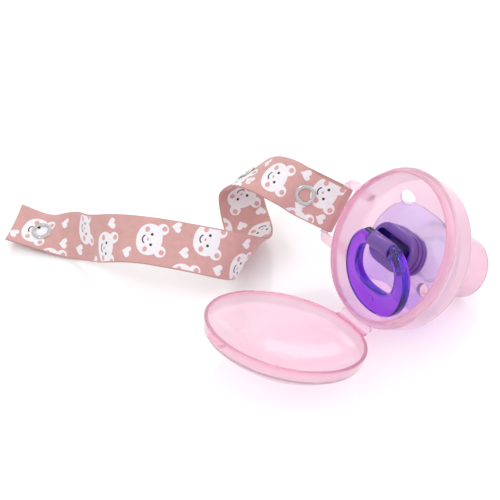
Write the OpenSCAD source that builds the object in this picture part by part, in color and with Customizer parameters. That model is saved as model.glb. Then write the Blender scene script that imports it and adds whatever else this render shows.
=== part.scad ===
// Baby's pacifier in its travel case, with a printed ribbon strap.
//
// The case lies tipped back on the end of its nub with the lid folded down in front of it.
// The pacifier sits in the bowl with its ring hanging in it. The strap is looped round
// the case's ear, curls over once and trails away to the left.
//
// Rigid pieces are drawn in the case's own frame: X along the lid's hinge, Y across the
// mouth away from the hinge, Z out of the mouth, with 0 at the middle of the mouth's band.
// on_case() then leans that frame into place. +Z of the part is up.

/* [Case] */
// Radius of the band round the case's mouth
band_r = 33; // [32.5:0.1:33.5]
// Depth of the band, from the mouth to where the shoulder starts
band_h = 11.1; // [10.5:0.1:11.5]
// Height of the lip that the lid snaps over
lip_h = 3.9; // [3:0.1:4.2]
// Length of the case, from the band's front to the end of the nub
case_l = 46.3; // [45:0.1:47]
// Radius of the nub where it leaves the shoulder
nub_root_r = 15; // [14.5:0.1:15.5]
// Radius of the nub at its end
nub_end_r = 12.4; // [12:0.1:12.8]
// Thickness of the moulded wall
wall = 1.5; // [1.3:0.1:1.6]
// Diameter of the round vents in the shoulder
vent_d = 6.8; // [5:0.2:7]

/* [Lid] */
// Depth of the lid, from its rim to the top of its dome
lid_h = 16.7; // [16:0.1:17]
// Height of the lid's side wall
lid_wall_h = 5.4; // [5:0.1:5.8]
// How far the lid stands open, in degrees from shut
lid_open = 106.4; // [0:0.2:170]
// Width of the hinge
hinge_w = 18.5; // [14:0.5:20]

/* [Strap ear] */
// Length of the ear along the band
ear_l = 29; // [28:0.5:30]
// Length of the slot that the ribbon goes through
slot_l = 22; // [21:0.5:23]
// Diameter of the bar that the ribbon loops round
ear_bar_d = 3.2; // [3:0.1:3.4]

/* [Pacifier] */
// Width of the mouth shield
shield_w = 46; // [44:0.5:48]
// Thickness of the mouth shield
shield_t = 2; // [1.8:0.1:2.2]
// Width of the button on the shield's front
button_w = 25; // [24.5:0.5:25.5]
// Height of the button, across its width
button_l = 16.5; // [16:0.5:17]
// Length of the barrel that carries the ring
barrel_l = 12.4; // [12:0.2:13]
// Diameter of the barrel
barrel_d = 6.8; // [6.4:0.2:7]
// Length of the teat behind the shield
teat_l = 27; // [24:0.5:29]
// Half width of the ring handle
ring_a = 19; // [18.5:0.5:19.5]
// Reach of the ring handle from the barrel's axis
ring_reach = 29.8; // [29:0.2:29.8]
// Thickness of the ring handle
ring_t = 4.2; // [4:0.1:4.4]
// Angle of the ring below the mouth's plane as it rests on the button's corners
ring_drop = 23; // [21:0.5:25]

/* [Strap] */
// Width of the ribbon
ribbon_w = 20; // [19:0.5:20]
// Thickness of the doubled ribbon
ribbon_t = 0.9; // [0.8:0.1:1]
// Outer diameter of a snap fastener's cap
snap_d = 9; // [8.5:0.1:9.5]

/* [Hidden] */
$fn = 96;

// Where the case's own frame stands, and how it leans
case_at = [57.06, -42.81, 35.62];
case_turn = -59.35;
case_lean = 55.21;
case_roll = 5.31;
// Moves the whole part so that its origin is under the middle of its box
origin_shift = [3.11, 40.36, 0.17];

// Lip and lid clearances
lip_in_r = band_r - 3;
lip_root_r = band_r - 1.7;
lip_tip_r = band_r - 2.2;
lid_in_r = band_r - 1.9;
lid_gap = 0.3;
// Band, shoulder and nub corners, outside and then inside the wall
shoulder_r = band_r - 1.7;
nub_root_z = -21.6;
bowl_in_r = band_r - 2.75;
bowl_in_z = 0.8 - band_h;
nub_in_root_r = nub_root_r - 1.35;
nub_in_root_z = nub_root_z + 0.8;
nub_in_end_r = nub_end_r - 1.35;
// Vents in the shoulder, square to its slope
vent_at = [18.1, 16.6];
vent_z = -13.6;
shoulder_slope = 33;
// Ear, on the case's left
ear_bar_x = -44.7;
ear_y = -3.4;
ear_z = -7;
ear_t = 3;
// The hinge's axis lies midway between band and lid
hinge_y = band_r + 1.3;
hinge_z = lid_gap / 2;
film_d = 0.7;
leaf_t = 0.9;
// Dome of the lid: a cap of a sphere
dome_foot_r = band_r - 1.1;
dome_rise = lid_h - lid_wall_h;
dome_r = (dome_foot_r * dome_foot_r + dome_rise * dome_rise) / (2 * dome_rise);
dome_edge = asin((dome_foot_r - 2.4) / dome_r);
tab_w = 9.5;
tab_out = 2.3;
// Pacifier
shield_z = -6;
shield_ball_r = 107;
vent_hole_r = 2.7;
vent_hole_at = [16.8, -8.6];
face_z = 1.8;
button_corner_r = 7.9;
barrel_z = 6.5;
bore_r = 2.5;
pin_w = 3.2;
stem_r = 3;
neck_r = 6.3;
// Strap: it leaves the ear's bar at this angle to the mouth's plane
strap_rise = 50;
// Middle of the ribbon's thickness, from the bar's axis
loop_r = 2.45;
// From the bar to the snap that closes the loop, and to the end of the tail
loop_snap = 14.2;
tail_l = 22;
// Gap between the wrap and the tail, for the tail to turn
tail_gap = 0.5;
// Ribbon from the loop's snap to its free end: middle [x, y, z], then the direction across it
route = [
    [15.5, -1, 36.3, 0.51, 0.57, 0.64], [5.5, 6.2, 35.8, 0.59, 0.72, 0.35],
    [-1.3, 14.5, 29, 0.73, 0.68, 0.1], [-4.3, 19.4, 17.5, 0.88, 0.46, 0.02],
    [-2.2, 13.9, 6.7, 0.97, 0.23, 0.12], [0.8, 2, 5.3, 0.88, 0.2, 0.4],
    [1.4, -10.7, 7.9, 0.72, 0.24, 0.64], [-0.6, -21.5, 13.2, 0.51, 0.33, 0.79],
    [-7.8, -29, 20.2, 0.24, 0.6, 0.76], [-20, -29.2, 23.6, 0.19, 0.79, 0.59],
    [-32.6, -27.5, 25.3, 0.17, 0.77, 0.62], [-45.5, -25.2, 26, 0.16, 0.84, 0.52],
    [-57, -19.8, 22.3, 0, 0.7, 0.7], [-64.5, -12, 15.6, -0.2, 0.55, 0.8],
    [-70, -3.5, 10, -0.2, 0.6, 0.75], [-78, 3, 6.5, 0.1, 0.85, 0.45],
    [-88.5, 8, 3.5, 0.31, 0.93, 0.17], [-100.7, 11.4, 5.4, 0.38, 0.9, 0.19]];
steps = 4;
// Where along the route the fold and the snaps lie, in stations from the bar
fold_at = 4;
crest_snap_at = 5;
free_snap_at = 19;
// Ribbon left out on each side of the fold, in stations, for it to turn
fold_cut = 0.033;
// Snap fasteners
snap_hole_d = 5.5;
cap_h = 0.7;
socket_r = 4.1;
socket_h = 2.2;
flat_socket_h = 1.6;
stud_base_h = 0.9;
stud_h = 2.6;
stud_r = 1.5;

function unit(v) = v / norm(v);
function xy(p) = [p[0], p[1]];
function angle_of(v) = atan2(v[1], v[0]);
function wrap(a) = a > 180 ? a - 360 : a < -180 ? a + 360 : a;

// A corner at b between a and c, rounded to radius b[2]
function corner(a, b, c, n = 6) = b[2] <= 0 ? [xy(b)] :
    let (u = unit(xy(a) - xy(b)), v = unit(xy(c) - xy(b)),
         half = acos(u * v) / 2,
         reach = b[2] / tan(half),
         centre = xy(b) + unit(u + v) * b[2] / sin(half),
         from = angle_of(xy(b) + u * reach - centre),
         turn = wrap(angle_of(xy(b) + v * reach - centre) - from))
    [for (i = [0:n]) centre + b[2] * [cos(from + turn * i / n), sin(from + turn * i / n)]];

// An outline of [x, y, radius] corners
function rounded(p, n = 6) = let (m = len(p))
    [for (i = [0:m - 1]) each corner(p[(i + m - 1) % m], p[i], p[(i + 1) % m], n)];

// Points of a superellipse with half axes a and b
function oval(a, b, power, n = 72) =
    [for (i = [0:n - 1]) let (c = cos(360 * i / n), s = sin(360 * i / n))
        [a * sign(c) * pow(abs(c), 2 / power), b * sign(s) * pow(abs(s), 2 / power)]];

// A direction in the case's frame, turned into the part's frame
function about_z(v, a) = [v[0] * cos(a) - v[1] * sin(a), v[0] * sin(a) + v[1] * cos(a), v[2]];
function about_x(v, a) = [v[0], v[1] * cos(a) - v[2] * sin(a), v[1] * sin(a) + v[2] * cos(a)];
function turned(v) = about_z(about_x(about_z(v, case_roll), case_lean), case_turn);

// The ear's bar, and the ribbon's directions there: along, off its face and across
bar = case_at + turned([ear_bar_x, ear_y, ear_z]);
along = turned([-cos(strap_rise), 0, sin(strap_rise)]);
face = turned([sin(strap_rise), 0, cos(strap_rise)]);
across = turned([0, 1, 0]);

// Every station of the ribbon: middle and direction across
function leaving(d) = [bar + face * loop_r + along * d, across];
stations = concat([for (d = [0, loop_snap / 2, loop_snap]) leaving(d)],
    [for (q = route) [[q[0], q[1], q[2]], unit([q[3], q[4], q[5]])]]);

// A smooth curve through the stations, at station number u
function blend4(a, b, c, d, t) = 0.5 * (2 * b + (c - a) * t + (2 * a - 5 * b + 4 * c - d) * t * t
    + (3 * b - a - 3 * c + d) * t * t * t);
function station(i) = i < 0 ? [2 * stations[0][0] - stations[1][0], stations[0][1]] :
    let (last = len(stations) - 1) i > last ?
        [2 * stations[last][0] - stations[last - 1][0], stations[last][1]] : stations[i];
function ribbon(u) = let (i = min(floor(u), len(stations) - 2), t = u - i)
    [for (k = [0, 1]) blend4(station(i - 1)[k], station(i)[k], station(i + 1)[k], station(i + 2)[k], t)];
// Frame of the ribbon at u: middle, along, across, off its printed face
function ribbon_frame(u) = let (
    mid = ribbon(u)[0], ahead = unit(ribbon(u + 0.02)[0] - ribbon(u - 0.02)[0]),
    side = unit(ribbon(u)[1] - ahead * (ribbon(u)[1] * ahead)))
    [mid, ahead, side, cross(side, ahead)];

// Closed strip through a list of [middle, across, off the face]
module strip(rings) {
    count = len(rings);
    points = [for (q = rings) each [
        q[0] + q[1] * ribbon_w / 2 + q[2] * ribbon_t / 2, q[0] - q[1] * ribbon_w / 2 + q[2] * ribbon_t / 2,
        q[0] - q[1] * ribbon_w / 2 - q[2] * ribbon_t / 2, q[0] + q[1] * ribbon_w / 2 - q[2] * ribbon_t / 2]];
    end = 4 * (count - 1);
    faces = concat([[2, 1, 0], [3, 2, 0]], [for (i = [0:count - 2], k = [0:3])
        let (a = 4 * i + k, b = 4 * i + (k + 1) % 4) each [[a, b, b + 4], [a, b + 4, a + 4]]],
        [[end, end + 1, end + 2], [end, end + 2, end + 3]]);
    translate(origin_shift) polyhedron(points, faces);
}

// A round piece on the ribbon: its Z is off the printed face
module at_frame(f, depth = 0, flip = false) {
    x = f[1];
    z = flip ? -f[3] : f[3];
    y = cross(z, x);
    base = origin_shift + f[0] + z * depth;
    multmatrix([[x[0], y[0], z[0], base[0]], [x[1], y[1], z[1], base[1]],
                [x[2], y[2], z[2], base[2]], [0, 0, 0, 1]]) children();
}

module on_case() {
    translate(origin_shift + case_at)
        rotate([0, 0, case_turn]) rotate([case_lean, 0, 0]) rotate([0, 0, case_roll])
            children();
}

// From the lid's frame when shut to where it stands open
module on_lid() {
    on_case() translate([0, -hinge_y, hinge_z]) rotate([lid_open, 0, 0])
        translate([0, hinge_y, lid_gap - hinge_z]) children();
}

// Lip, band, shoulder and nub in one wall
module bowl() {
    rotate_extrude()
        polygon(rounded([
            [lip_in_r, lip_h, 0.4], [lip_tip_r, lip_h, 0.4], [lip_root_r, 0, 0], [band_r, 0, 0.5],
            [shoulder_r, -band_h, 3], [nub_root_r, nub_root_z, 4], [nub_end_r, -case_l, 3.2],
            [0, -case_l, 0], [0, wall - case_l, 0], [nub_in_end_r, wall - case_l, 1.9],
            [nub_in_root_r, nub_in_root_z, 5.4], [bowl_in_r, bowl_in_z, 1.5]]));
}

// Flat loop that the ribbon is threaded through, ending in a round bar
module ear() {
    arm_w = (ear_l - slot_l) / 2;
    difference() {
        translate([0, ear_y, ear_z - ear_t / 2]) linear_extrude(ear_t) difference() {
            polygon(rounded([[-20, -ear_l / 2, 0], [-20, ear_l / 2, 0],
                [ear_bar_x, ear_l / 2, arm_w], [ear_bar_x, -ear_l / 2, arm_w]]));
            translate([ear_bar_x - 2.6, -slot_l / 2]) square([-18.4 - ear_bar_x, slot_l]);
        }
        cylinder(r = band_r - 2.4, h = 60, center = true);
    }
    translate([ear_bar_x, ear_y, ear_z]) rotate([90, 0, 0])
        cylinder(d = ear_bar_d, h = slot_l + 1, center = true);
}

module case_body() {
    color([0.98, 0.75, 0.85, 0.6]) on_case() {
        difference() {
            union() {
                bowl();
                ear();
            }
            for (side = [-1, 1])
                translate([-side * vent_at[0], side * vent_at[1], vent_z])
                    rotate([0, 0, angle_of([-side * vent_at[0], side * vent_at[1]])])
                        rotate([0, 180 - shoulder_slope, 0])
                            cylinder(d = vent_d, h = 6, center = true);
        }
        translate([-hinge_w / 2, -hinge_y + 0.5, -leaf_t - 0.1])
            cube([hinge_w, 1.8, leaf_t]);
    }
}

// Domed lid with its thumb tab and its half of the hinge
module lid() {
    dome_z = lid_h - dome_r;
    in_r = dome_r - wall;
    steps = 10;
    color([0.96, 0.72, 0.83, 0.6]) on_lid() {
        rotate_extrude()
            polygon(concat(
                corner([lid_in_r + 0.4, 0], [band_r, 0, 0.4], [band_r - 0.9, lid_wall_h]),
                corner([band_r, 0], [band_r - 0.9, lid_wall_h, 2.2],
                       [dome_r * sin(dome_edge), dome_z + dome_r * cos(dome_edge)]),
                [for (i = [0:steps]) let (a = dome_edge * (1 - i / steps))
                    [dome_r * sin(a), dome_z + dome_r * cos(a)]],
                [for (i = [0:steps]) let (a = dome_edge * i / steps)
                    [in_r * sin(a), dome_z + in_r * cos(a)]],
                corner([in_r * sin(dome_edge), dome_z + in_r * cos(dome_edge)],
                       [lid_in_r, lid_wall_h - 0.7, 1.2], [lid_in_r + 0.4, 0]),
                [[lid_in_r + 0.4, 0]]));
        // thumb tab
        difference() {
            translate([0, 0, 0.2]) linear_extrude(1.5)
                polygon(rounded([[-tab_w / 2, band_r - 1, 0], [tab_w / 2, band_r - 1, 0],
                    [tab_w / 2, band_r + tab_out, 1.6], [-tab_w / 2, band_r + tab_out, 1.6]]));
            cylinder(r = band_r - 0.7, h = 10, center = true);
        }
        translate([-hinge_w / 2, -hinge_y + 0.5, 0.1]) cube([hinge_w, 1.6, leaf_t]);
    }
}

// Thin bending line between the case's leaf and the lid's
module hinge_film() {
    color([1, 0.9, 0.95, 0.5]) on_case() translate([0, -hinge_y, hinge_z]) rotate([0, 90, 0])
        cylinder(d = film_d, h = hinge_w, center = true);
}

// Curved mouth guard with two air holes and a scoop below for the chin
module shield() {
    half = shield_w / 2;
    color([0.86, 0.78, 0.95, 0.6]) on_case() difference() {
        intersection() {
            translate([0, 0, -20]) linear_extrude(20)
                polygon(rounded([[-half, -15, 10], [-half, 18.6, 18], [half, 18.6, 18], [half, -15, 10],
                    [14, -19.5, 8], [0, -14.6, 16], [-14, -19.5, 8]]));
            difference() {
                translate([0, 0, shield_z - shield_ball_r]) sphere(r = shield_ball_r);
                translate([0, 0, shield_z - shield_ball_r]) sphere(r = shield_ball_r - shield_t);
            }
        }
        for (side = [-1, 1])
            translate([side * vent_hole_at[0], vent_hole_at[1], -20]) cylinder(r = vent_hole_r, h = 20);
        translate([0, 0, -20]) cylinder(r = neck_r + 0.1, h = 20);
    }
}

// Silicone bulb: collar in front of the shield, neck through it and a hollow tip behind
module teat() {
    back = shield_z - shield_t;
    tip = back - teat_l;
    color([0.97, 0.95, 0.93, 0.6]) on_case() rotate_extrude()
        polygon(rounded([
            [5, shield_z + 1.2, 0], [8.5, shield_z + 1.2, 0.4], [8.5, shield_z + 0.05, 0],
            [neck_r, shield_z + 0.05, 0], [neck_r, back - 0.3, 0], [8.2, back - 0.45, 0.3],
            [8.2, back - 1.4, 0.5], [6, back - 3.5, 2], [6.2, back - 8, 8], [9.8, tip + 11, 8],
            [8.6, tip, 7], [0, tip, 0], [0, tip + 1.4, 0], [7.6, tip + 1.4, 6],
            [8.3, tip + 11, 7], [4.8, back - 8, 7]]));
}

// Hollow plug that is pushed into the teat's neck and grips the button's stem
module teat_plug() {
    color([0.93, 0.9, 0.97]) on_case() translate([0, 0, shield_z + 1.2]) mirror([0, 0, 1])
        difference() {
            cylinder(r = 4.7, h = 8);
            translate([0, 0, -1]) cylinder(r = stem_r + 0.03, h = 10);
        }
}

// Grooved block with the ring's barrel standing in a slot
module button_cover() {
    half_w = button_w / 2;
    half_l = button_l / 2;
    groove = 0.7;
    color([0.62, 0.53, 0.77]) on_case() difference() {
        union() {
            difference() {
                union() for (layer = [[-9, 4.2, 0], [-4.8, 1.2, groove], [-3.6, 1.4, 0],
                                      [-2.2, 1.2, groove], [-1, face_z + 1, 0]])
                    translate([0, 0, layer[0]]) linear_extrude(layer[1])
                        polygon(rounded([for (q = [[-1, -1], [1, -1], [1, 1], [-1, 1]])
                            [q[0] * (half_w - layer[2]), q[1] * (half_l - layer[2]),
                             button_corner_r - layer[2]]]));
                translate([0, 0, face_z - 4.5]) linear_extrude(10)
                    polygon(rounded([[-10.5, -4.6, 3], [10.5, -4.6, 3], [10.5, 4.6, 3], [-10.5, 4.6, 3]]));
                translate([0, 0, shield_z - shield_ball_r]) sphere(r = shield_ball_r + 0.02);
                translate([0, 0, -20]) cylinder(r = 8.7, h = 20 + shield_z + 1.4);
            }
            translate([-barrel_l / 2 + 1, -2, face_z - 5]) cube([barrel_l - 2, 4, barrel_z - face_z + 4]);
            translate([0, 0, barrel_z]) rotate([0, 90, 0])
                cylinder(d = barrel_d, h = barrel_l, center = true);
            translate([0, 0, shield_z - 6]) cylinder(r = stem_r, h = 8);
        }
        translate([0, 0, barrel_z]) rotate([0, 90, 0])
            cylinder(r = bore_r, h = barrel_l + 2, center = true);
    }
}

// D-shaped ring whose two pins turn in the barrel
module ring_handle() {
    mid = ring_reach - 17.3;
    end_x = barrel_l / 2 + 0.25;
    color([0.47, 0.22, 0.85, 0.8]) on_case() translate([0, 0, barrel_z]) rotate([ring_drop, 0, 0]) {
        translate([0, 0, -ring_t / 2]) linear_extrude(ring_t) difference() {
            translate([0, -mid]) polygon(oval(ring_a, 17.3, 2.15));
            translate([0, -10.6]) polygon(oval(11.8, 8.6, 2.6));
            translate([-40, 2.9]) square([80, 20]);
            translate([-end_x, -5]) square([2 * end_x, 20]);
        }
        for (side = [-1, 1])
            translate([side * (end_x + 0.6 - pin_w / 2), 0, 0]) cube([pin_w + 1.2, pin_w, pin_w], center = true);
    }
}

// Ribbon from the fold back to the bar and round it, up to where the tail starts
module strap_loop() {
    out = [for (i = [0:fold_at * steps]) let (f = ribbon_frame(min(i / steps, fold_at - fold_cut)))
        [f[0], f[2], f[3]]];
    wrap_steps = 12;
    wrap_angle = 168;
    round_bar = [for (i = [0:wrap_steps]) let (a = wrap_angle * (1 - i / wrap_steps),
        off = face * cos(a) - along * sin(a)) [bar + off * loop_r, across, off]];
    color([0.88, 0.69, 0.67]) strip(concat([for (i = [0:wrap_steps - 1]) round_bar[i]], out));
}

// Short end of the ribbon, folded back behind the loop
module strap_tail() {
    color([0.86, 0.66, 0.64]) strip([for (d = [tail_gap, tail_l / 2, tail_l])
        [bar - face * loop_r + along * d, across, face]]);
}

// Ribbon from the fold to the free end
module strap_far() {
    last = len(stations) - 1;
    color([0.88, 0.69, 0.67]) strip([for (i = [fold_at * steps:last * steps])
        let (f = ribbon_frame(max(i / steps, fold_at + fold_cut))) [f[0], f[2], f[3]]]);
}

// Snap fasteners: an open ring on the outside, a socket or a stud on the inside
module snap_cap() {
    color([0.8, 0.8, 0.82]) rotate_extrude() translate([0, ribbon_t / 2])
        polygon(rounded([[snap_hole_d / 2, 0, 0], [snap_d / 2, 0, 0], [snap_d / 2, cap_h, 0.5],
                         [snap_hole_d / 2, cap_h, 0.35]]));
}

module snap_socket(h) {
    color([0.75, 0.75, 0.77]) translate([0, 0, ribbon_t / 2]) difference() {
        cylinder(r = socket_r, h = h);
        translate([0, 0, 0.5]) cylinder(r = stud_r + 0.3, h = h);
    }
}

module snap_stud() {
    color([0.75, 0.75, 0.77]) translate([0, 0, ribbon_t / 2]) {
        cylinder(r = socket_r, h = stud_base_h);
        cylinder(r = stud_r, h = stud_h);
    }
}

near_frame = [bar + face * loop_r + along * loop_snap, along, across, face];
tail_frame = [bar - face * loop_r + along * loop_snap, along, across, face];
module snap_cap_loop() at_frame(near_frame) snap_cap();
module snap_socket_loop() at_frame(near_frame, flip = true) snap_socket(socket_h);
module snap_cap_tail() at_frame(tail_frame, flip = true) snap_cap();
module snap_stud_tail() at_frame(tail_frame) snap_stud();
module snap_cap_crest() at_frame(ribbon_frame(crest_snap_at)) snap_cap();
module snap_stud_crest() at_frame(ribbon_frame(crest_snap_at), flip = true) snap_stud();
module snap_cap_free() at_frame(ribbon_frame(free_snap_at)) snap_cap();
module snap_socket_free() at_frame(ribbon_frame(free_snap_at), flip = true) snap_socket(flat_socket_h);

case_body();
lid();
hinge_film();
shield();
teat();
teat_plug();
button_cover();
ring_handle();
strap_loop();
strap_tail();
strap_far();
snap_cap_loop();
snap_socket_loop();
snap_cap_tail();
snap_stud_tail();
snap_cap_crest();
snap_stud_crest();
snap_cap_free();
snap_socket_free();
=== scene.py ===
# Pacifier in its travel case with a printed ribbon strap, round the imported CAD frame.
import math
import bpy
import bmesh
import numpy as np
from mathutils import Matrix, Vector, geometry


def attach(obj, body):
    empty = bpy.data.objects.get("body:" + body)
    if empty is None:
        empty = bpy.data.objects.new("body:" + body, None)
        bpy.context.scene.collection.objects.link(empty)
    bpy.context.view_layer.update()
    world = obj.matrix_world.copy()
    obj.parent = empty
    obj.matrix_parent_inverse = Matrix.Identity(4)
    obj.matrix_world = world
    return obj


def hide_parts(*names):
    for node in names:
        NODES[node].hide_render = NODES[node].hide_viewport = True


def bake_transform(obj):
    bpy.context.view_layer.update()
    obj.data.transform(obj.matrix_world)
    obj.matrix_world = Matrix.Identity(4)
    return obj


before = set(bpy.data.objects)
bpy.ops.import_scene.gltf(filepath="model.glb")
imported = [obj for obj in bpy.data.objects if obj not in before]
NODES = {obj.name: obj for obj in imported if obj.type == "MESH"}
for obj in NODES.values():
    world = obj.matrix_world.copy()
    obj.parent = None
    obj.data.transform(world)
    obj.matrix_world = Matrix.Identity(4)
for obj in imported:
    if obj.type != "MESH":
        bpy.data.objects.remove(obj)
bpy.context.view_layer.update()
MM = 0.001
scene = bpy.context.scene

# ---------------------------------------------------------------- camera
SHIFT = np.array([3.11, 40.36, 0.17])
VIEW_EL = math.radians(38.9)
VIEW_DISTANCE = 903.0
camera_data = bpy.data.cameras.new("camera")
camera_data.lens = 153.4
camera_data.sensor_width = 36.0
camera_data.clip_start = 0.05
camera = bpy.data.objects.new("camera", camera_data)
scene.collection.objects.link(camera)
target = Vector(SHIFT * MM)
back = Vector((0.0, -math.cos(VIEW_EL), math.sin(VIEW_EL)))
camera.location = target + back * VIEW_DISTANCE * MM
camera.rotation_euler = (-back).to_track_quat("-Z", "Y").to_euler()
scene.camera = camera


# ---------------------------------------------------------------- the case's own frame
def turn_z(a):
    """A turn by a degrees about Z."""
    c, s = math.cos(math.radians(a)), math.sin(math.radians(a))
    return np.array([[c, -s, 0], [s, c, 0], [0, 0, 1]])


def turn_x(a):
    """A turn by a degrees about X."""
    c, s = math.cos(math.radians(a)), math.sin(math.radians(a))
    return np.array([[1, 0, 0], [0, c, -s], [0, s, c]])


CASE_AT = np.array([57.06, -42.81, 35.62]) + SHIFT
CASE = turn_z(-59.35) @ turn_x(55.21) @ turn_z(5.31)


def in_case(p):
    """Millimetres in the case's frame to metres in the row frame."""
    return (CASE_AT + np.asarray(p, float) @ CASE.T) * MM


BARREL_Z = 6.5                                  # the barrel's axis over the case's mouth
RING = turn_x(23)                               # how far the ring stands up in the photo


def in_ring(p):
    """Millimetres in the ring's frame, with the barrel's axis as its X, to metres in the row frame."""
    return in_case(np.asarray(p, float) @ RING.T + [0, 0, BARREL_Z])


# ---------------------------------------------------------------- materials
def material(name):
    m = bpy.data.materials.new(name)
    m.use_nodes = True
    return m, m.node_tree, m.node_tree.nodes["Principled BSDF"]


def node(tree, kind, inputs=(), **settings):
    n = tree.nodes.new(kind)
    for k, v in settings.items():
        setattr(n, k, v)
    for k, v in dict(inputs).items():
        if isinstance(v, bpy.types.NodeSocket):
            tree.links.new(v, n.inputs[k])
        else:
            n.inputs[k].default_value = v
    return n


def mottle(tree, shader, colour_a, colour_b, scale):
    """A slow change between two colours over the surface."""
    where = node(tree, "ShaderNodeTexCoord").outputs["Object"]
    noise = node(tree, "ShaderNodeTexNoise", {"Vector": where, "Scale": scale, "Detail": 3.0})
    ramp = node(tree, "ShaderNodeValToRGB", {"Fac": noise.outputs["Fac"]})
    ramp.color_ramp.elements[0].position = 0.35
    ramp.color_ramp.elements[0].color = (*colour_a, 1)
    ramp.color_ramp.elements[1].position = 0.68
    ramp.color_ramp.elements[1].color = (*colour_b, 1)
    tree.links.new(ramp.outputs["Color"], shader.inputs["Base Color"])


def ripple(tree, shader, scale, strength, distance=0.0002):
    """The faint waviness of a moulded surface."""
    where = node(tree, "ShaderNodeTexCoord").outputs["Object"]
    noise = node(tree, "ShaderNodeTexNoise", {"Vector": where, "Scale": scale, "Detail": 2.0})
    bump = node(tree, "ShaderNodeBump", {"Height": noise.outputs["Fac"], "Strength": strength,
                                         "Distance": distance})
    tree.links.new(bump.outputs["Normal"], shader.inputs["Normal"])


PLASTIC_MOTTLE = 60.0
PLASTIC_RIPPLE = 140.0


def clear_plastic(name, colour_a, colour_b, roughness, transmission, absorb, density, bump=0.05,
                  ior=1.47, lets_through=None, painted_rim_tint=None):
    """Moulded clear plastic. absorb and density are the colour and strength of its absorption.

    lets_through is the colour of the light that passes on through it to what lies behind.
    The last argument, (point, axis, from, to, colour) in millimetres, paints a deeper pink on a band by
    the thick moulded rim: painted colour standing in for the light's long path through the plastic
    there.
    """
    m, tree, shader = material(name)
    mottle(tree, shader, colour_a, colour_b, PLASTIC_MOTTLE)
    # Painted deeper pink over the rim band, standing in for the light's long path through the thick
    # plastic.
    if painted_rim_tint:
        point, axis, start, end, painted_rim_colour = painted_rim_tint
        base = float(np.dot(point, axis))
        where = node(tree, "ShaderNodeTexCoord").outputs["Object"]
        height = node(tree, "ShaderNodeVectorMath", {0: where, 1: tuple(axis)}, operation="DOT_PRODUCT")
        painted_rim_share = node(tree, "ShaderNodeMapRange", {"Value": height.outputs["Value"],
                                                  "From Min": (base + start) * MM,
                                                  "From Max": (base + end) * MM})
        body = shader.inputs["Base Color"].links[0].from_socket
        mixed = node(tree, "ShaderNodeMix", {"Factor": painted_rim_share.outputs[0]}, data_type="RGBA")
        tree.links.new(body, mixed.inputs["A"])
        mixed.inputs["B"].default_value = (*painted_rim_colour, 1)
        tree.links.new(mixed.outputs["Result"], shader.inputs["Base Color"])
    ripple(tree, shader, PLASTIC_RIPPLE, bump)
    shader.inputs["Roughness"].default_value = roughness
    shader.inputs["Transmission Weight"].default_value = transmission
    shader.inputs["IOR"].default_value = ior
    out = tree.nodes["Material Output"]
    if density:
        soak = node(tree, "ShaderNodeVolumeAbsorption", {"Color": (*absorb, 1), "Density": density})
        tree.links.new(soak.outputs["Volume"], out.inputs["Volume"])
    if lets_through:
        through = node(tree, "ShaderNodeBsdfTransparent", {"Color": (*lets_through, 1)})
        shadow = node(tree, "ShaderNodeLightPath").outputs["Is Shadow Ray"]
        both = node(tree, "ShaderNodeMixShader", {"Fac": shadow, 1: shader.outputs[0],
                                                  2: through.outputs[0]})
        tree.links.new(both.outputs[0], out.inputs["Surface"])
    return m


LID_OPEN = 106.4                                # degrees from shut to where the photo shows it
HINGE_OUT, HINGE_UP = 34.3, 0.15                # the hinge's line in the case's frame
PINK_SOAK = (1.0, 0.08, 0.45)
PINK_THROUGH = (1.0, 0.95, 0.975)
LID = CASE @ turn_x(LID_OPEN)
LID_AT = in_case([0, -HINGE_OUT, HINGE_UP]) / MM + LID @ np.array([0, HINGE_OUT, HINGE_UP])
# The case's and lid's rim tints are painted deeper pink, standing in for the light's long path through
# their thick rims.
case_pink = clear_plastic("case_pink", (0.97, 0.78, 0.86), (0.99, 0.82, 0.89), 0.2, 0.7,
                          PINK_SOAK, 12.0, lets_through=PINK_THROUGH,
                          painted_rim_tint=(CASE_AT, CASE[:, 2], -0.4, 2.4, (1.0, 0.62, 0.75)))
lid_pink = clear_plastic("lid_pink", (0.91, 0.75, 0.81), (0.93, 0.79, 0.84), 0.12, 0.76,
                         PINK_SOAK, 22.0, lets_through=PINK_THROUGH,
                         painted_rim_tint=(LID_AT, -LID[:, 2], -1.8, -0.6, (0.97, 0.56, 0.69)))
hinge_pink = clear_plastic("hinge_pink", (1.0, 0.84, 0.9), (1.0, 0.88, 0.93), 0.25, 0.6,
                           (0.99, 0.1, 0.5), 30.0, lets_through=PINK_THROUGH)
shield_lavender = clear_plastic("shield_lavender", (0.79, 0.77, 0.93), (0.83, 0.81, 0.95), 0.05, 0.84,
                                (0.7, 0.35, 0.95), 60.0, lets_through=(0.94, 0.9, 0.98))
silicone = clear_plastic("silicone", (0.96, 0.95, 0.96), (0.99, 0.98, 0.99), 0.2, 0.9,
                         (0.9, 0.85, 0.85), 20.0, ior=1.41, lets_through=(0.97, 0.95, 0.97))
plug_white = clear_plastic("plug_white", (0.9, 0.88, 0.97), (0.95, 0.93, 0.99), 0.3, 0.3,
                           (0.9, 0.85, 0.95), 20.0)
ring_violet = clear_plastic("ring_violet", (0.91, 0.82, 0.98), (0.94, 0.86, 0.99), 0.02, 0.98,
                            (0.7, 0.22, 0.96), 640.0, bump=0.02, ior=1.5, lets_through=(0.8, 0.6, 0.97))
button_violet = clear_plastic("button_violet", (0.26, 0.11, 0.54), (0.3, 0.14, 0.6), 0.05, 0.5,
                              (0.7, 0.3, 0.97), 260.0, bump=0.03, ior=1.5)
# Painted shade: a near-black violet for the slot's inner walls, standing in for the shade deep in the
# recess.
button_slot_painted_shade = clear_plastic("button_slot_painted_shade", (0.03, 0.015, 0.2), (0.045, 0.02, 0.27), 0.08, 0.4,
                            (0.6, 0.2, 0.97), 300.0, bump=0.03, ior=1.5)


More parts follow.
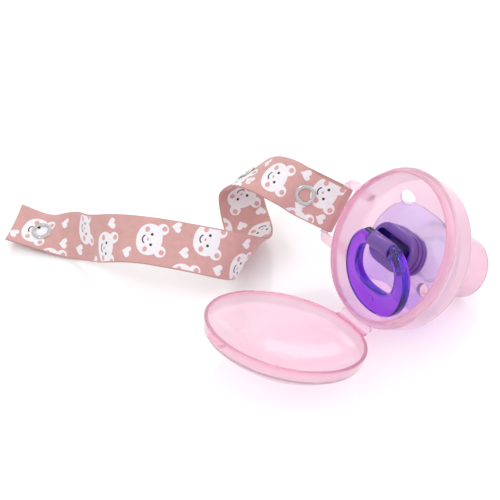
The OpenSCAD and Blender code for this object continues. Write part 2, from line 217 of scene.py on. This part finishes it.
def metal(name, colour, roughness):
    m, tree, shader = material(name)
    mottle(tree, shader, colour, tuple(c * 1.06 for c in colour), 500.0)
    ripple(tree, shader, 900.0, 0.08, 0.00005)
    shader.inputs["Metallic"].default_value = 1.0
    shader.inputs["Roughness"].default_value = roughness
    return m


snap_chrome = metal("snap_chrome", (0.58, 0.56, 0.56), 0.05)
# The duller snaps' darker tone is partly painted shade, standing in for the grooves their plain mesh
# lacks; the rougher finish is their own.
snap_steel = metal("snap_steel", (0.46, 0.45, 0.46), 0.28)


def fabric(name, colour_a, colour_b, sheen=0.25):
    """Satin ribbon: a fine weave across both directions, from the piece's own flat coordinates."""
    m, tree, shader = material(name)
    flat = node(tree, "ShaderNodeUVMap", uv_map="flat").outputs["UV"]
    patches = node(tree, "ShaderNodeTexNoise", {"Vector": flat, "Scale": 26.0, "Detail": 6.0,
                                                "Roughness": 0.65})
    ramp = node(tree, "ShaderNodeValToRGB", {"Fac": patches.outputs["Fac"]})
    ramp.color_ramp.elements[0].position = 0.3
    ramp.color_ramp.elements[0].color = (*colour_a, 1)
    ramp.color_ramp.elements[1].position = 0.7
    ramp.color_ramp.elements[1].color = (*colour_b, 1)
    threads = {"Vector": flat, "Scale": 95.0, "Distortion": 1.2, "Detail": 1.0}
    warp = node(tree, "ShaderNodeTexWave", threads, bands_direction="X")
    weft = node(tree, "ShaderNodeTexWave", threads, bands_direction="Y")
    weave = node(tree, "ShaderNodeMath", {0: warp.outputs["Fac"], 1: weft.outputs["Fac"]},
                 operation="MULTIPLY")
    shade = node(tree, "ShaderNodeMapRange", {"Value": weave.outputs[0], "To Min": 0.93, "To Max": 1.03})
    tint = node(tree, "ShaderNodeVectorMath", {0: ramp.outputs["Color"]}, operation="SCALE")
    tree.links.new(shade.outputs[0], tint.inputs["Scale"])
    tree.links.new(tint.outputs[0], shader.inputs["Base Color"])
    bump = node(tree, "ShaderNodeBump", {"Height": weave.outputs[0], "Strength": 0.25,
                                         "Distance": 0.0001})
    tree.links.new(bump.outputs["Normal"], shader.inputs["Normal"])
    shader.inputs["Roughness"].default_value = 0.55
    shader.inputs["Sheen Weight"].default_value = sheen
    shader.inputs["Sheen Roughness"].default_value = 0.4
    return m


ribbon_pink = fabric("ribbon_pink", (0.60, 0.315, 0.30), (0.67, 0.37, 0.352))
ribbon_edge = fabric("ribbon_edge", (0.5, 0.25, 0.245), (0.57, 0.3, 0.29), 0.1)
print_white = fabric("print_white", (0.82, 0.79, 0.83), (0.9, 0.87, 0.9))
print_black = fabric("print_black", (0.015, 0.014, 0.02), (0.03, 0.028, 0.035), 0.05)
print_rose = fabric("print_rose", (0.66, 0.34, 0.33), (0.74, 0.41, 0.39))
RIBBON_SLOTS = [ribbon_pink, ribbon_edge, print_white, print_black, print_rose]


# ---------------------------------------------------------------- mesh helpers
def piece(name, points, faces, materials, slots=None, uv=None):
    mesh = bpy.data.meshes.new(name)
    mesh.from_pydata([tuple(float(c) for c in p) for p in points], [], [list(f) for f in faces])
    for m in materials:
        mesh.materials.append(m)
    if slots is not None:
        mesh.polygons.foreach_set("material_index", np.asarray(slots, np.int32))
    if uv is not None:
        layer = mesh.uv_layers.new(name="flat")
        at = np.zeros(len(mesh.loops), np.int32)
        mesh.loops.foreach_get("vertex_index", at)
        layer.data.foreach_set("uv", np.asarray(uv, np.float32)[at].ravel())
    mesh.polygons.foreach_set("use_smooth", np.full(len(mesh.polygons), True))
    mesh.update()
    obj = bpy.data.objects.new(name, mesh)
    scene.collection.objects.link(obj)
    return obj


def outward(obj, weld=0.0, crease=35.0):
    """Turns every face outwards and keeps the edges sharper than the crease angle crisp."""
    bm = bmesh.new()
    bm.from_mesh(obj.data)
    if weld:
        bmesh.ops.remove_doubles(bm, verts=bm.verts, dist=weld)
    bmesh.ops.recalc_face_normals(bm, faces=bm.faces)
    bm.to_mesh(obj.data)
    bm.free()
    obj.data.set_sharp_from_angle(angle=math.radians(crease))


def bevelled(obj, width, segments, angle=35.0):
    """Rounds the sharp edges and keeps flat faces flat to the light; the result is applied."""
    outward(obj)
    mod = obj.modifiers.new("round", "BEVEL")
    mod.width = width * MM
    mod.segments = segments
    mod.limit_method = "ANGLE"
    mod.angle_limit = math.radians(angle)
    mod.use_clamp_overlap = True
    mod.miter_outer = "MITER_ARC"
    weighted = obj.modifiers.new("even", "WEIGHTED_NORMAL")
    weighted.keep_sharp = False
    depsgraph = bpy.context.evaluated_depsgraph_get()
    mesh = bpy.data.meshes.new_from_object(obj.evaluated_get(depsgraph))
    obj.modifiers.clear()
    obj.data = mesh


def loft(sections):
    """Points and faces of a stack of closed outlines with the same count, closed at both ends."""
    n = len(sections[0])
    points = np.vstack(sections)
    faces = [(i * n + k, i * n + (k + 1) % n, (i + 1) * n + (k + 1) % n, (i + 1) * n + k)
             for i in range(len(sections) - 1) for k in range(n)]
    faces.append(tuple(reversed(range(n))))
    faces.append(tuple(range((len(sections) - 1) * n, len(sections) * n)))
    return points, faces


def lathe(profile, count=64, closed=True):
    """Turns (along, radius) pairs about X. A closed profile makes a tube."""
    a = np.arange(count) * 2 * math.pi / count
    points, faces = [], []
    for x, r in profile:
        points += [(x, r * math.cos(t), r * math.sin(t)) for t in a]
    rings = len(profile)
    for i in range(rings if closed else rings - 1):
        j = (i + 1) % rings
        for k in range(count):
            after = (k + 1) % count
            faces.append((i * count + k, i * count + after, j * count + after, j * count + k))
    return np.array(points), faces


def rounded_box(half_x, half_y, radius, per_corner=12):
    """Outline of a rectangle with round corners, counter-clockwise from the +X side."""
    out = []
    for cx, cy, a0 in ((1, 1, 0), (-1, 1, 90), (-1, -1, 180), (1, -1, 270)):
        for i in range(per_corner + 1):
            a = math.radians(a0 + 90 * i / per_corner)
            out.append((cx * (half_x - radius) + radius * math.cos(a),
                        cy * (half_y - radius) + radius * math.sin(a)))
    return np.array(out)


def merge(parts):
    """Joins (points, faces) lists."""
    points, faces, base = [], [], 0
    for p, f in parts:
        points.append(np.asarray(p, float))
        faces += [tuple(v + base for v in face) for face in f]
        base += len(p)
    return np.vstack(points), faces


def raised(v, power):
    """A cosine or sine brought to a superellipse's power, with its sign kept."""
    return np.sign(v) * np.abs(v) ** (2 / power)


def superellipse(a, b, power, count):
    t = np.arange(count) * 2 * math.pi / count
    return np.stack([a * raised(np.cos(t), power), b * raised(np.sin(t), power)], 1)


# ---------------------------------------------------------------- CAD nodes that stay
for name, mat in {"case_body": case_pink, "lid": lid_pink, "hinge_film": hinge_pink,
                  "shield": shield_lavender, "teat": silicone, "teat_plug": plug_white}.items():
    NODES[name].data.materials.clear()
    NODES[name].data.materials.append(mat)
# Snaps other than the caps take the duller metal, whose darker tone is partly painted shade.
for name in NODES:
    if name.startswith("snap_"):
        NODES[name].data.materials.clear()
        NODES[name].data.materials.append(snap_chrome if "cap" in name else snap_steel)


# ---------------------------------------------------------------- ring handle
END_X = 6.45                                    # where the ring's ends stop beside the barrel
RING_T = 4.2                                    # thickness
RING_CORNER = 1.3
RING_TOP = 2.9                                  # the ends' upper edge
RING_OUTSIDE = (19, 17.3, 2.15, -12.5)          # half width, half height, power, middle
RING_HOLE = (11.8, 8.6, 2.6, -10.6)


def even(line, count):
    """A line's points spread evenly along it."""
    d = np.r_[0, np.cumsum(np.linalg.norm(np.diff(line, axis=0), axis=1))]
    u = np.linspace(0, d[-1], count)
    return np.stack([np.interp(u, d, line[:, 0]), np.interp(u, d, line[:, 1])], 1)


def ring_lines(count=180):
    """Matched points of the ring's outside and its hole, from the left end round to the right."""
    t = np.radians(np.linspace(-180, 180, 1441))                # 0 is the bottom of the ring

    def turned(a, b, power, at):
        return np.stack([a * raised(np.sin(t), power), at + b * raised(-np.cos(t), power)], 1)

    outer = turned(*RING_OUTSIDE)
    outer = outer[outer[:, 1] <= 2.0]
    hole = turned(*RING_HOLE)
    hole = hole[(np.abs(hole[:, 0]) >= END_X) | (hole[:, 1] < -10)]
    x = outer[0][0]
    left = [(-END_X, RING_TOP), (x + 1.3, RING_TOP), (x + 0.65, 2.72), (x + 0.2, 2.4)]
    right = [(-x, y) for x, y in left[::-1]]
    outer = np.vstack([left, outer, right])
    hole = np.vstack([[(-END_X, hole[0, 1])], hole, [(END_X, hole[-1, 1])]])
    return even(outer, count), even(hole, count)


def ring_section(a, b, inset):
    """Rounded bar between the hole's edge a and the outside b."""
    width = math.dist(a, b)
    across = (b - a) / width
    outline = rounded_box(width / 2 - inset, RING_T / 2 - inset, RING_CORNER - inset * 0.5, 6)
    middle = (a + b) / 2
    return np.c_[middle + outline[:, :1] * across, outline[:, 1]]


outside, hole = ring_lines()
ring_sections = [ring_section(hole[i], outside[i], 0.0) for i in range(len(hole))]
for reach, inset in ((0.12, 0.04), (0.2, 0.15), (0.24, 0.35)):  # the rounded-off ends
    first = ring_section(hole[0], outside[0], inset)
    last = ring_section(hole[-1], outside[-1], inset)
    ring_sections = [first + [reach, 0, 0]] + ring_sections + [last - [reach, 0, 0]]
points, faces = loft(ring_sections)
ring = piece("ring", in_ring(points), faces, [ring_violet])
outward(ring)
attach(ring, "ring")
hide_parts("ring_handle")

PIN_HALF, PIN_CORNER = 1.6, 0.35
PIN_SPAN = (END_X + 1.0, END_X - 3.2)           # from inside the ring's end into the barrel's bore
square = rounded_box(PIN_HALF, PIN_HALF, PIN_CORNER, 3)
pins = []
for side in (-1, 1):
    pins.append(loft([np.c_[np.full(len(square), side * x), square] for x in PIN_SPAN]))
points, faces = merge(pins)
ring_pins = piece("ring_pins", in_ring(points), faces, [ring_violet])
outward(ring_pins)
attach(ring_pins, "ring")
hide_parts("ring_handle")


def heart(size, count=48):
    """A heart's outline, size wide, from the usual heart curve, which is 32 wide."""
    t = np.arange(count) * 2 * math.pi / count
    x = 16 * np.sin(t) ** 3
    y = 13 * np.cos(t) - 5 * np.cos(2 * t) - 2 * np.cos(3 * t) - np.cos(4 * t)
    return np.stack([x, y + 2.5], 1) * size / 32


HEART_AT = (0, -24.6)                           # on the middle of the ring's lower bar
shape = heart(5.2) + HEART_AT
points, faces = loft([np.c_[shape, np.full(len(shape), RING_T / 2 - 0.05)],
                      np.c_[shape, np.full(len(shape), RING_T / 2 + 0.28)]])
ring_heart = piece("ring_heart", in_ring(points), faces, [ring_violet])
bevelled(ring_heart, 0.15, 2)
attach(ring_heart, "ring")

# ---------------------------------------------------------------- button and barrel
HALF_W, HALF_L, CORNER = 12.5, 8.25, 7.9
FACE_Z = 1.8
SHIELD_Z, BALL_R = -6.0, 107.0                  # the shield's dome: its top and its radius
SLOT_HALF_W, SLOT_HALF_L, SLOT_CORNER = 10.5, 4.6, 3.0
SLOT_DEPTH = 4.5
BARREL_HALF = 6.2
BARREL_R, BORE_R = 3.4, 2.44


def block_section(z, inset, on_shield=False):
    """The block's outline at a height, or where it stands on the domed shield."""
    p = rounded_box(HALF_W - inset, HALF_L - inset, CORNER - inset)
    if on_shield:
        r2 = (p ** 2).sum(1)
        return np.c_[p, SHIELD_Z - BALL_R + np.sqrt(BALL_R ** 2 - r2) + 0.03]
    return np.c_[p, np.full(len(p), z)]


def slot_section(z, grow=0.0):
    p = rounded_box(SLOT_HALF_W + grow, SLOT_HALF_L + grow, SLOT_CORNER + grow)
    return np.c_[p, np.full(len(p), z)]


# (height, inset): two grooves round the side, then the rounded edge of the face
side_profile = [(-4.9, 0.0), (-4.75, 0.15), (-4.7, 0.6), (-4.5, 0.7), (-3.9, 0.7), (-3.7, 0.6),
                (-3.65, 0.15), (-3.5, 0.0), (-2.3, 0.0), (-2.15, 0.15), (-2.1, 0.6), (-1.9, 0.7),
                (-1.3, 0.7), (-1.1, 0.6), (-1.05, 0.15), (-0.9, 0.0), (1.2, 0.0), (1.5, 0.08),
                (1.71, 0.28), (1.79, 0.5), (1.8, 0.7)]
sections = [block_section(0, 0.0, True)] + [block_section(z, i) for z, i in side_profile]
slot_profile = [(0, 0.3), (0.1, 0.08), (0.35, 0.0), (SLOT_DEPTH - 0.2, 0.0), (SLOT_DEPTH, -0.2)]
sections += [slot_section(FACE_Z - depth, grow) for depth, grow in slot_profile]
points, faces = loft(sections)
per_section = len(sections[0])
# The slot's inner faces take the painted shade material from here on.
painted_shade_start = (len(sections) - len(slot_profile) + 1) * per_section
button = piece("button_block", in_case(points), faces, [button_violet, button_slot_painted_shade],
               slots=[1 if min(f) >= painted_shade_start else 0 for f in faces])
outward(button)

left = [(-BARREL_HALF, 2.5), (-BARREL_HALF, 3.0), (-BARREL_HALF + 0.12, 3.26),
        (-BARREL_HALF + 0.4, BARREL_R), (-0.12, BARREL_R), (-0.06, 3.3)]
right = [(-x, r) for x, r in left[::-1]]
bore = [(BARREL_HALF - 0.3, BORE_R), (0.0, BORE_R), (-BARREL_HALF + 0.3, BORE_R)]
tube, tube_faces = lathe(left + right + bore)
barrel = piece("button_barrel", in_case(tube + [0, 0, BARREL_Z]), tube_faces, [button_violet])
outward(barrel)

web = rounded_box(5.2, 2.0, 0.5, 4)
points, faces = loft([np.c_[web, np.full(len(web), z)] for z in (FACE_Z - 4.6, 0.0, 2.2, 3.9)])
neck = piece("button_neck", in_case(points), faces, [button_violet])
outward(neck)

stem_profile = [(-12.0, 0.0), (-12.0, 2.5), (-11.6, 2.95), (-7.0, 2.95), (-4.2, 2.95), (-4.2, 0.0)]
stem_points, stem_faces = lathe(stem_profile, 40, closed=False)
stem_points = stem_points[:, [2, 1, 0]]         # the lathe's X becomes the case's Z
stem = piece("button_stem", in_case(stem_points), stem_faces, [button_violet])
outward(stem, weld=1e-7)
for part in (button, barrel, neck, stem):
    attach(part, "pacifier")
    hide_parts("button_cover")

# ---------------------------------------------------------------- ribbon: its route, as in part.scad
STRAP_RISE = math.radians(50)
LOOP_R = 2.45                                   # bar's axis to the middle of the ribbon
LEAVING = (0, 7.1, 14.2)                        # the straight start, before ROUTE
BAR = CASE_AT + CASE @ np.array([-44.7, -3.4, -7.0])
ALONG = CASE @ np.array([-math.cos(STRAP_RISE), 0, math.sin(STRAP_RISE)])
FACE = CASE @ np.array([math.sin(STRAP_RISE), 0, math.cos(STRAP_RISE)])
ACROSS = CASE[:, 1]
# each row: the middle of the ribbon, then the direction across it
ROUTE = np.array([
    [15.5, -1, 36.3, 0.51, 0.57, 0.64], [5.5, 6.2, 35.8, 0.59, 0.72, 0.35],
    [-1.3, 14.5, 29, 0.73, 0.68, 0.1], [-4.3, 19.4, 17.5, 0.88, 0.46, 0.02],
    [-2.2, 13.9, 6.7, 0.97, 0.23, 0.12], [0.8, 2, 5.3, 0.88, 0.2, 0.4],
    [1.4, -10.7, 7.9, 0.72, 0.24, 0.64], [-0.6, -21.5, 13.2, 0.51, 0.33, 0.79],
    [-7.8, -29, 20.2, 0.24, 0.6, 0.76], [-20, -29.2, 23.6, 0.19, 0.79, 0.59],
    [-32.6, -27.5, 25.3, 0.17, 0.77, 0.62], [-45.5, -25.2, 26, 0.16, 0.84, 0.52],
    [-57, -19.8, 22.3, 0, 0.7, 0.7], [-64.5, -12, 15.6, -0.2, 0.55, 0.8],
    [-70, -3.5, 10, -0.2, 0.6, 0.75], [-78, 3, 6.5, 0.1, 0.85, 0.45],
    [-88.5, 8, 3.5, 0.31, 0.93, 0.17], [-100.7, 11.4, 5.4, 0.38, 0.9, 0.19]])
middles = [BAR + FACE * LOOP_R + ALONG * d for d in LEAVING] + [r[:3] + SHIFT for r in ROUTE]
sides = [ACROSS] * len(LEAVING) + [r[3:] / np.linalg.norm(r[3:]) for r in ROUTE]
middles = np.array([2 * middles[0] - middles[1]] + middles + [2 * middles[-1] - middles[-2]])
sides = np.array([sides[0]] + sides + [sides[-1]])


def spline(values, u):
    """Catmull-Rom between rows, with u counted in rows."""
    i = min(int(u), len(values) - 4)
    t = u - i
    a, b, c, d = values[i:i + 4]
    return 0.5 * (2 * b + (c - a) * t + (2 * a - 5 * b + 4 * c - d) * t * t
                  + (3 * b - a - 3 * c + d) * t ** 3)


def unit_rows(v):
    return v / np.linalg.norm(v, axis=1)[:, None]


stations_u = np.linspace(0, len(middles) - 3, 2001)
run = np.array([spline(middles, u) for u in stations_u])
run_side = np.array([spline(sides, u) for u in stations_u])


EASE_FROM, EASE_IN = 60, 15                     # where easing starts, and over what length
EASE_TO, EASE_OUT = 221, 8                      # where it has ended, short of the free snap


def softened(values, at, reach):
    """The ribbon's free length with its small bends eased, as cloth lies; the snaps' places stay."""
    weight = np.clip((at - EASE_FROM) / EASE_IN, 0, 1) * np.clip((EASE_TO - at) / EASE_OUT, 0, 1)
    weight = weight * weight * (3 - 2 * weight)
    near = np.exp(-0.5 * ((at[:, None] - at[None, :]) / reach) ** 2)
    eased = near @ values / near.sum(1)[:, None]
    return values + (eased - values) * weight[:, None]


def lengths(points):
    """How far along a line each of its points is."""
    return np.r_[0, np.cumsum(np.linalg.norm(np.diff(points, axis=0), axis=1))]


rough_s = lengths(run)
run_side = softened(run_side, rough_s, 9.0)
run = softened(run, rough_s, 5.0)
run_ahead = unit_rows(np.gradient(run, axis=0))
run_side = unit_rows(run_side - run_ahead * (run_side * run_ahead).sum(1)[:, None])
run_normal = np.cross(run_side, run_ahead)
run_s = lengths(run)
# the wrap round the bar and the tail behind it, at negative lengths
WRAP = math.pi * LOOP_R
TAIL = 22.0
wrap_s = np.linspace(-WRAP, 0, 60)[:-1]
wrap_off = np.array([FACE * math.cos(-s / LOOP_R) - ALONG * math.sin(-s / LOOP_R) for s in wrap_s])
tail_s = np.linspace(-WRAP - TAIL, -WRAP, 40)[:-1]
tail_mid = np.array([BAR - FACE * LOOP_R + ALONG * (-s - WRAP) for s in tail_s])
ALL_S = np.r_[tail_s, wrap_s, run_s]
ALL_MID = np.vstack([tail_mid, BAR + wrap_off * LOOP_R, run])
ALL_SIDE = np.vstack([np.tile(ACROSS, (len(tail_s) + len(wrap_s), 1)), run_side])
ALL_NORMAL = np.vstack([np.tile(-FACE, (len(tail_s), 1)), wrap_off, run_normal])
LENGTH = float(run_s[-1])


def along_table(s, table):
    """A table's rows at lengths s."""
    return np.stack([np.interp(s, ALL_S, table[:, k]) for k in range(3)], 1)


HALF_WIDTH = 10
CUPPED, CUP_DEPTH = 26, 1.7                     # the free end's cupped length, and by how much


def curl(s, w):
    """How far the ribbon's surface lifts off its flat cross-section, in millimetres."""
    end = np.clip((s - (LENGTH - CUPPED)) / CUPPED, 0, 1)
    cup = CUP_DEPTH * end * end
    wave = 0.16 * np.sin(s / 7.3) + 0.1 * np.sin(s / 3.9 + 1.0)
    near_bar = np.clip((s - 10) / 12, 0, 1)
    across = w / HALF_WIDTH
    return cup * (across ** 2 - 0.35) + near_bar * wave * across


def on_ribbon(s, w, n):
    """Ribbon coordinates in millimetres (along, across, off the face) to metres."""
    s, w, n = np.asarray(s, float), np.asarray(w, float), np.asarray(n, float)
    mid, side, normal = along_table(s, ALL_MID), along_table(s, ALL_SIDE), along_table(s, ALL_NORMAL)
    side, normal = unit_rows(side), unit_rows(normal)
    return (mid + side * w[:, None] + normal * (n + curl(s, w))[:, None]) * MM


# ---------------------------------------------------------------- the print: own plain animal faces
WHITE, BLACK, ROSE = 2, 3, 4


def disc(p, q, rp, rq=None, count=20, power=2.0):
    """A round or oval outline about (p, q)."""
    return superellipse(rp, rp if rq is None else rq, power, count) + [p, q]


def stroke(points, width):
    """A thin band along a line."""
    points = np.array(points, float)
    d = np.gradient(points, axis=0)
    d /= np.linalg.norm(d, axis=1)[:, None]
    across = np.stack([-d[:, 1], d[:, 0]], 1) * width / 2
    return np.vstack([points + across, (points - across)[::-1]])


def animal():
    """A plain round-eared face as (material, outline), with +p towards the ears."""
    out = []
    for q in (-1, 1):
        out.append((WHITE, disc(5.0, 4.7 * q, 2.4, count=24)))
        out.append((ROSE, disc(5.7, 5.0 * q, 1.1, count=16)))
    out.append((WHITE, disc(0, 0, 5.4, 6.7, 44, 2.1)))
    for q in (-1, 1):
        out.append((BLACK, disc(0.9, 2.2 * q, 0.6, count=16)))
        out.append((ROSE, disc(-1.3, 4.2 * q, 1.0, 1.2, 18)))
    a = np.radians(np.linspace(15, 165, 13))
    smile = np.stack([-1.5 - 1.3 * np.sin(a), 1.7 * np.cos(a)], 1)
    out.append((BLACK, stroke(smile, 0.55)))
    out.append((ROSE, disc(-0.6, 0, 0.45, 0.7, 12)))
    return out


ANIMAL = animal()
HEART = heart(4.6, 30)
# (along, across, tilt in degrees), millimetres from where the ribbon leaves the bar
FACES_FRONT = [
    (7.6, 4.0, 4), (13.5, -13.6, 0), (29.4, 0, -4), (47, -4.8, 6), (100, 5.5, 8), (116.5, -4.8, -6),
    (134, 4.4, 5), (141.5, -13.8, 0), (157, 0.5, -2), (178.6, -4.0, 6), (195.4, 3.8, -3),
    (213, -14.2, 0), (224.8, -0.5, 8), (-14, 2, 0)]
FACES_BACK = [
    (-20, -2, 0), (8, 3, 4), (28, -4, -5), (48, 4, 4), (64.5, 0.5, 8), (76.7, -13.2, 0), (85.5, 5.5, -8),
    (104, -3, 5), (124, 4, -4), (143, -4, 6), (163, 3, -5), (183, -4, 4), (203, 4, -6), (224, -1, 5)]
HEARTS_FRONT = [
    (-5, 4, 20), (4.5, -6.3, 0), (14.3, -5.2, 10), (19.1, 7, -10), (39.2, -5.2, 15), (38.5, 6, 0),
    (57, 5.5, 20), (63, -5, -15), (76, 4, 10), (88, -4, 0), (104, -6.5, 15), (117.2, 6, -15),
    (127.8, -6.6, 10), (142.3, -2.6, -10), (147.1, 7.4, 0), (166, -5.4, 12), (175.1, 6, -12),
    (188, -9.4, 0), (200.1, -5.4, 10), (211.7, 4.6, 0), (209, -4.4, -12), (233, -4.8, 15)]
HEARTS_BACK = [
    (-8, 5, 0), (-2, -6, 20), (17, -5, 10), (18, 6, -10), (38, 5, 0), (38, -6, 15), (55, -6, 0),
    (57, 6.5, 12), (72.8, 7.2, -10), (77.5, -2.5, 8), (94, -6, 10), (95, 5, -12), (114, 5, 0),
    (114, -6, 15), (133, -5, 0), (134, 6, 10), (153, 6, -12), (153, -5, 8), (173, 6, 0),
    (173, -6, 10), (193, 5, 0), (193, -6, 12), (213, 6, -8), (214, -6, 0), (233, 5, 10)]
FLAT_HALF = 9.65                                # half the printed face, inside the selvedges
HALF_T = 0.45                                   # half the ribbon's thickness
COLUMNS = np.linspace(-FLAT_HALF, FLAT_HALF, 14)
ROW_STEP = 1.3
CLEAR = 0.25                                    # how far the print stops short of the selvedge


def placed(shapes, s, w, tilt, way):
    """Shapes drawn with +p towards -s (way -1) or +s (way 1)."""
    c, d = math.cos(math.radians(tilt)), math.sin(math.radians(tilt))
    spin = np.array([[c, d], [-d, c]])
    out = []
    for m, line in shapes:
        p = np.asarray(line) @ spin
        out.append((m, np.stack([s + way * p[:, 0], w + way * p[:, 1]], 1)))
    return out


def print_on(front):
    """All the outlines of the front's or the back's print, in the order they cover each other."""
    way = -1 if front else 1
    out = []
    for s, w, tilt in (HEARTS_FRONT if front else HEARTS_BACK):
        out += placed([(WHITE, HEART[:, ::-1])], s, w, tilt, way)
    for s, w, tilt in (FACES_FRONT if front else FACES_BACK):
        out += placed(ANIMAL, s, w, tilt, way)
    return out


def clip(line, s0, s1):
    """What an outline has between two lengths and inside the selvedges, or None."""
    for axis, limit, keep_less in ((0, s1, True), (0, s0, False), (1, FLAT_HALF - CLEAR, True),
                                   (1, CLEAR - FLAT_HALF, False)):
        out = []
        for a, b in zip(line, np.roll(line, -1, axis=0)):
            ia = a[axis] <= limit if keep_less else a[axis] >= limit
            ib = b[axis] <= limit if keep_less else b[axis] >= limit
            if ia:
                out.append(a)
            if ia != ib:
                out.append(a + (b - a) * (limit - a[axis]) / (b[axis] - a[axis]))
        if len(out) < 3:
            return None
        line = np.array(out)
    return line


def inside(points, line):
    """Which points lie inside an outline."""
    x, y = points[:, 0], points[:, 1]
    hit = np.zeros(len(points), bool)
    for a, b in zip(line, np.roll(line, -1, axis=0)):
        crosses = (a[1] > y) != (b[1] > y)
        if crosses.any():
            at = a[0] + (y - a[1]) * (b[0] - a[0]) / (b[1] - a[1] if b[1] != a[1] else 1e-12)
            hit ^= crosses & (x < at)
    return hit


def sheet_faces(s0, s1, front):
    """The printed face of the ribbon between two lengths, cut along the print's outlines."""
    count = max(2, int(round((s1 - s0) / ROW_STEP)))
    rows = np.linspace(s0, s1, count + 1)
    verts = [Vector((s, w)) for s in rows for w in COLUMNS]
    k = len(COLUMNS)
    edges = [(i * k, (i + 1) * k) for i in range(count)]
    edges += [(i * k + k - 1, (i + 1) * k + k - 1) for i in range(count)]
    edges += [(j, j + 1) for j in range(k - 1)]
    edges += [(count * k + j, count * k + j + 1) for j in range(k - 1)]
    shapes = []
    for m, line in print_on(front):
        line = clip(line, s0 + 0.2, s1 - 0.2)
        if line is None:
            continue
        shapes.append((m, line))
        base = len(verts)
        verts += [Vector(p) for p in line]
        edges += [(base + i, base + (i + 1) % len(line)) for i in range(len(line))]
    result = geometry.delaunay_2d_cdt(verts, edges, [], 0, 0.004)
    flat = np.array([tuple(v) for v in result[0]])
    tris = np.array([tuple(f) for f in result[2]])
    centre = flat[tris].mean(1)
    slots = np.zeros(len(tris), int)
    for m, line in shapes:
        lo, hi = line.min(0), line.max(0)
        near = np.where(((centre >= lo) & (centre <= hi)).all(1))[0]
        slots[near[inside(centre[near], line)]] = m
    return flat, tris, slots, rows


def ribbon_piece(name, s0, s1):
    """A length of ribbon: two printed faces, a round selvedge on each side and two square ends."""
    top, top_tris, top_slots, rows = sheet_faces(s0, s1, True)
    low, low_tris, low_slots, _ = sheet_faces(s0, s1, False)
    flat = [top, low]
    off = [np.full(len(top), HALF_T), np.full(len(low), -HALF_T)]
    faces = [tuple(f) for f in top_tris[:, ::-1]] + [tuple(f + len(top)) for f in low_tris]
    slots = list(top_slots) + list(low_slots)
    base = len(top) + len(low)
    selvedge = [(FLAT_HALF, HALF_T), (9.86, 0.38), (9.98, 0.2), (10.0, 0.0), (9.98, -0.2), (9.86, -0.38),
                (FLAT_HALF, -HALF_T)]
    m = len(selvedge)
    for sign in (1, -1):
        w = np.array([sign * r[0] for r in selvedge])
        h = np.array([r[1] for r in selvedge])
        flat.append(np.stack([np.repeat(rows, m), np.tile(w, len(rows))], 1))
        off.append(np.tile(h, len(rows)))
        for i in range(len(rows) - 1):
            for j in range(m - 1):
                at, after = base + i * m + j, base + (i + 1) * m + j
                quad = (at, at + 1, after + 1, after)
                faces.append(quad if sign > 0 else quad[::-1])
                slots.append(1)
        base += len(rows) * m
    loop = [(c, HALF_T) for c in COLUMNS] + selvedge[1:-1] + [(c, -HALF_T) for c in COLUMNS[::-1]]
    loop += [(-r[0], r[1]) for r in selvedge[::-1][1:-1]]
    for s in (s0, s1):
        flat.append(np.array([(s, c) for c, _ in loop]))
        off.append(np.array([h for _, h in loop]))
        face = tuple(range(base, base + len(loop)))
        faces.append(face if s == s1 else face[::-1])
        slots.append(1)
        base += len(loop)
    flat = np.vstack(flat)
    off = np.concatenate(off)
    obj = piece(name, on_ribbon(flat[:, 0], flat[:, 1], off), faces, RIBBON_SLOTS,
                slots=slots, uv=flat / 100.0)
    outward(obj, weld=2e-6, crease=50.0)
    return obj


FOLD_S = float(np.interp(4.0, stations_u, run_s))                # strap_fold's axis, as in part.scad
SPLIT_S = FOLD_S + 3.0

tail = ribbon_piece("ribbon_tail", -WRAP - TAIL, 0.0)
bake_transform(tail)
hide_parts("strap_tail")
near = ribbon_piece("ribbon_near", 0.0, SPLIT_S)
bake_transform(near)
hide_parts("strap_loop")
far = ribbon_piece("ribbon_far", SPLIT_S, LENGTH)
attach(far, "strap_far")
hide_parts("strap_far")

# ---------------------------------------------------------------- floor and light
floor_material, tree, shader = material("floor")
mottle(tree, shader, (0.93, 0.93, 0.935), (0.945, 0.945, 0.95), 3.0)
shader.inputs["Roughness"].default_value = 0.12
shader.inputs["IOR"].default_value = 1.4
floor_mesh = bpy.data.meshes.new("floor")
floor_mesh.from_pydata([(-6, -6, 0), (6, -6, 0), (6, 6, 0), (-6, 6, 0)], [], [(0, 1, 2, 3)])
floor_mesh.materials.append(floor_material)
floor = bpy.data.objects.new("floor", floor_mesh)
floor.location = (0, 0, -0.0002)
scene.collection.objects.link(floor)

world = bpy.data.worlds.new("studio")
scene.world = world
world.use_nodes = True
sky = world.node_tree
sky_at = node(sky, "ShaderNodeTexCoord").outputs["Generated"]
height = node(sky, "ShaderNodeSeparateXYZ", {"Vector": sky_at}).outputs["Z"]
sky_ramp = node(sky, "ShaderNodeValToRGB", {"Fac": height})
sky_ramp.color_ramp.elements[0].position = 0.0
sky_ramp.color_ramp.elements[0].color = (0.72, 0.72, 0.74, 1)
sky_ramp.color_ramp.elements[1].position = 0.35
sky_ramp.color_ramp.elements[1].color = (1.0, 1.0, 1.0, 1)
sky.links.new(sky_ramp.outputs["Color"], sky.nodes["Background"].inputs["Color"])
sky.nodes["Background"].inputs["Strength"].default_value = 1.0


LIGHT_AIM = (0, 0, 0.02)


def lamp(name, at, size, power):
    data = bpy.data.lights.new(name, "AREA")
    data.shape = "RECTANGLE"
    data.size, data.size_y = size
    data.energy = power
    obj = bpy.data.objects.new(name, data)
    obj.location = at
    obj.rotation_euler = (Vector(LIGHT_AIM) - Vector(at)).to_track_quat("-Z", "Y").to_euler()
    scene.collection.objects.link(obj)


lamp("key", (-0.7, -0.5, 1.1), (0.7, 0.5), 3.2)
lamp("fill", (0.9, -0.3, 0.8), (0.5, 0.7), 1.6)
lamp("rear", (0.1, 1.0, 0.8), (1.0, 0.4), 2.0)
scene.view_settings.view_transform = "Standard"
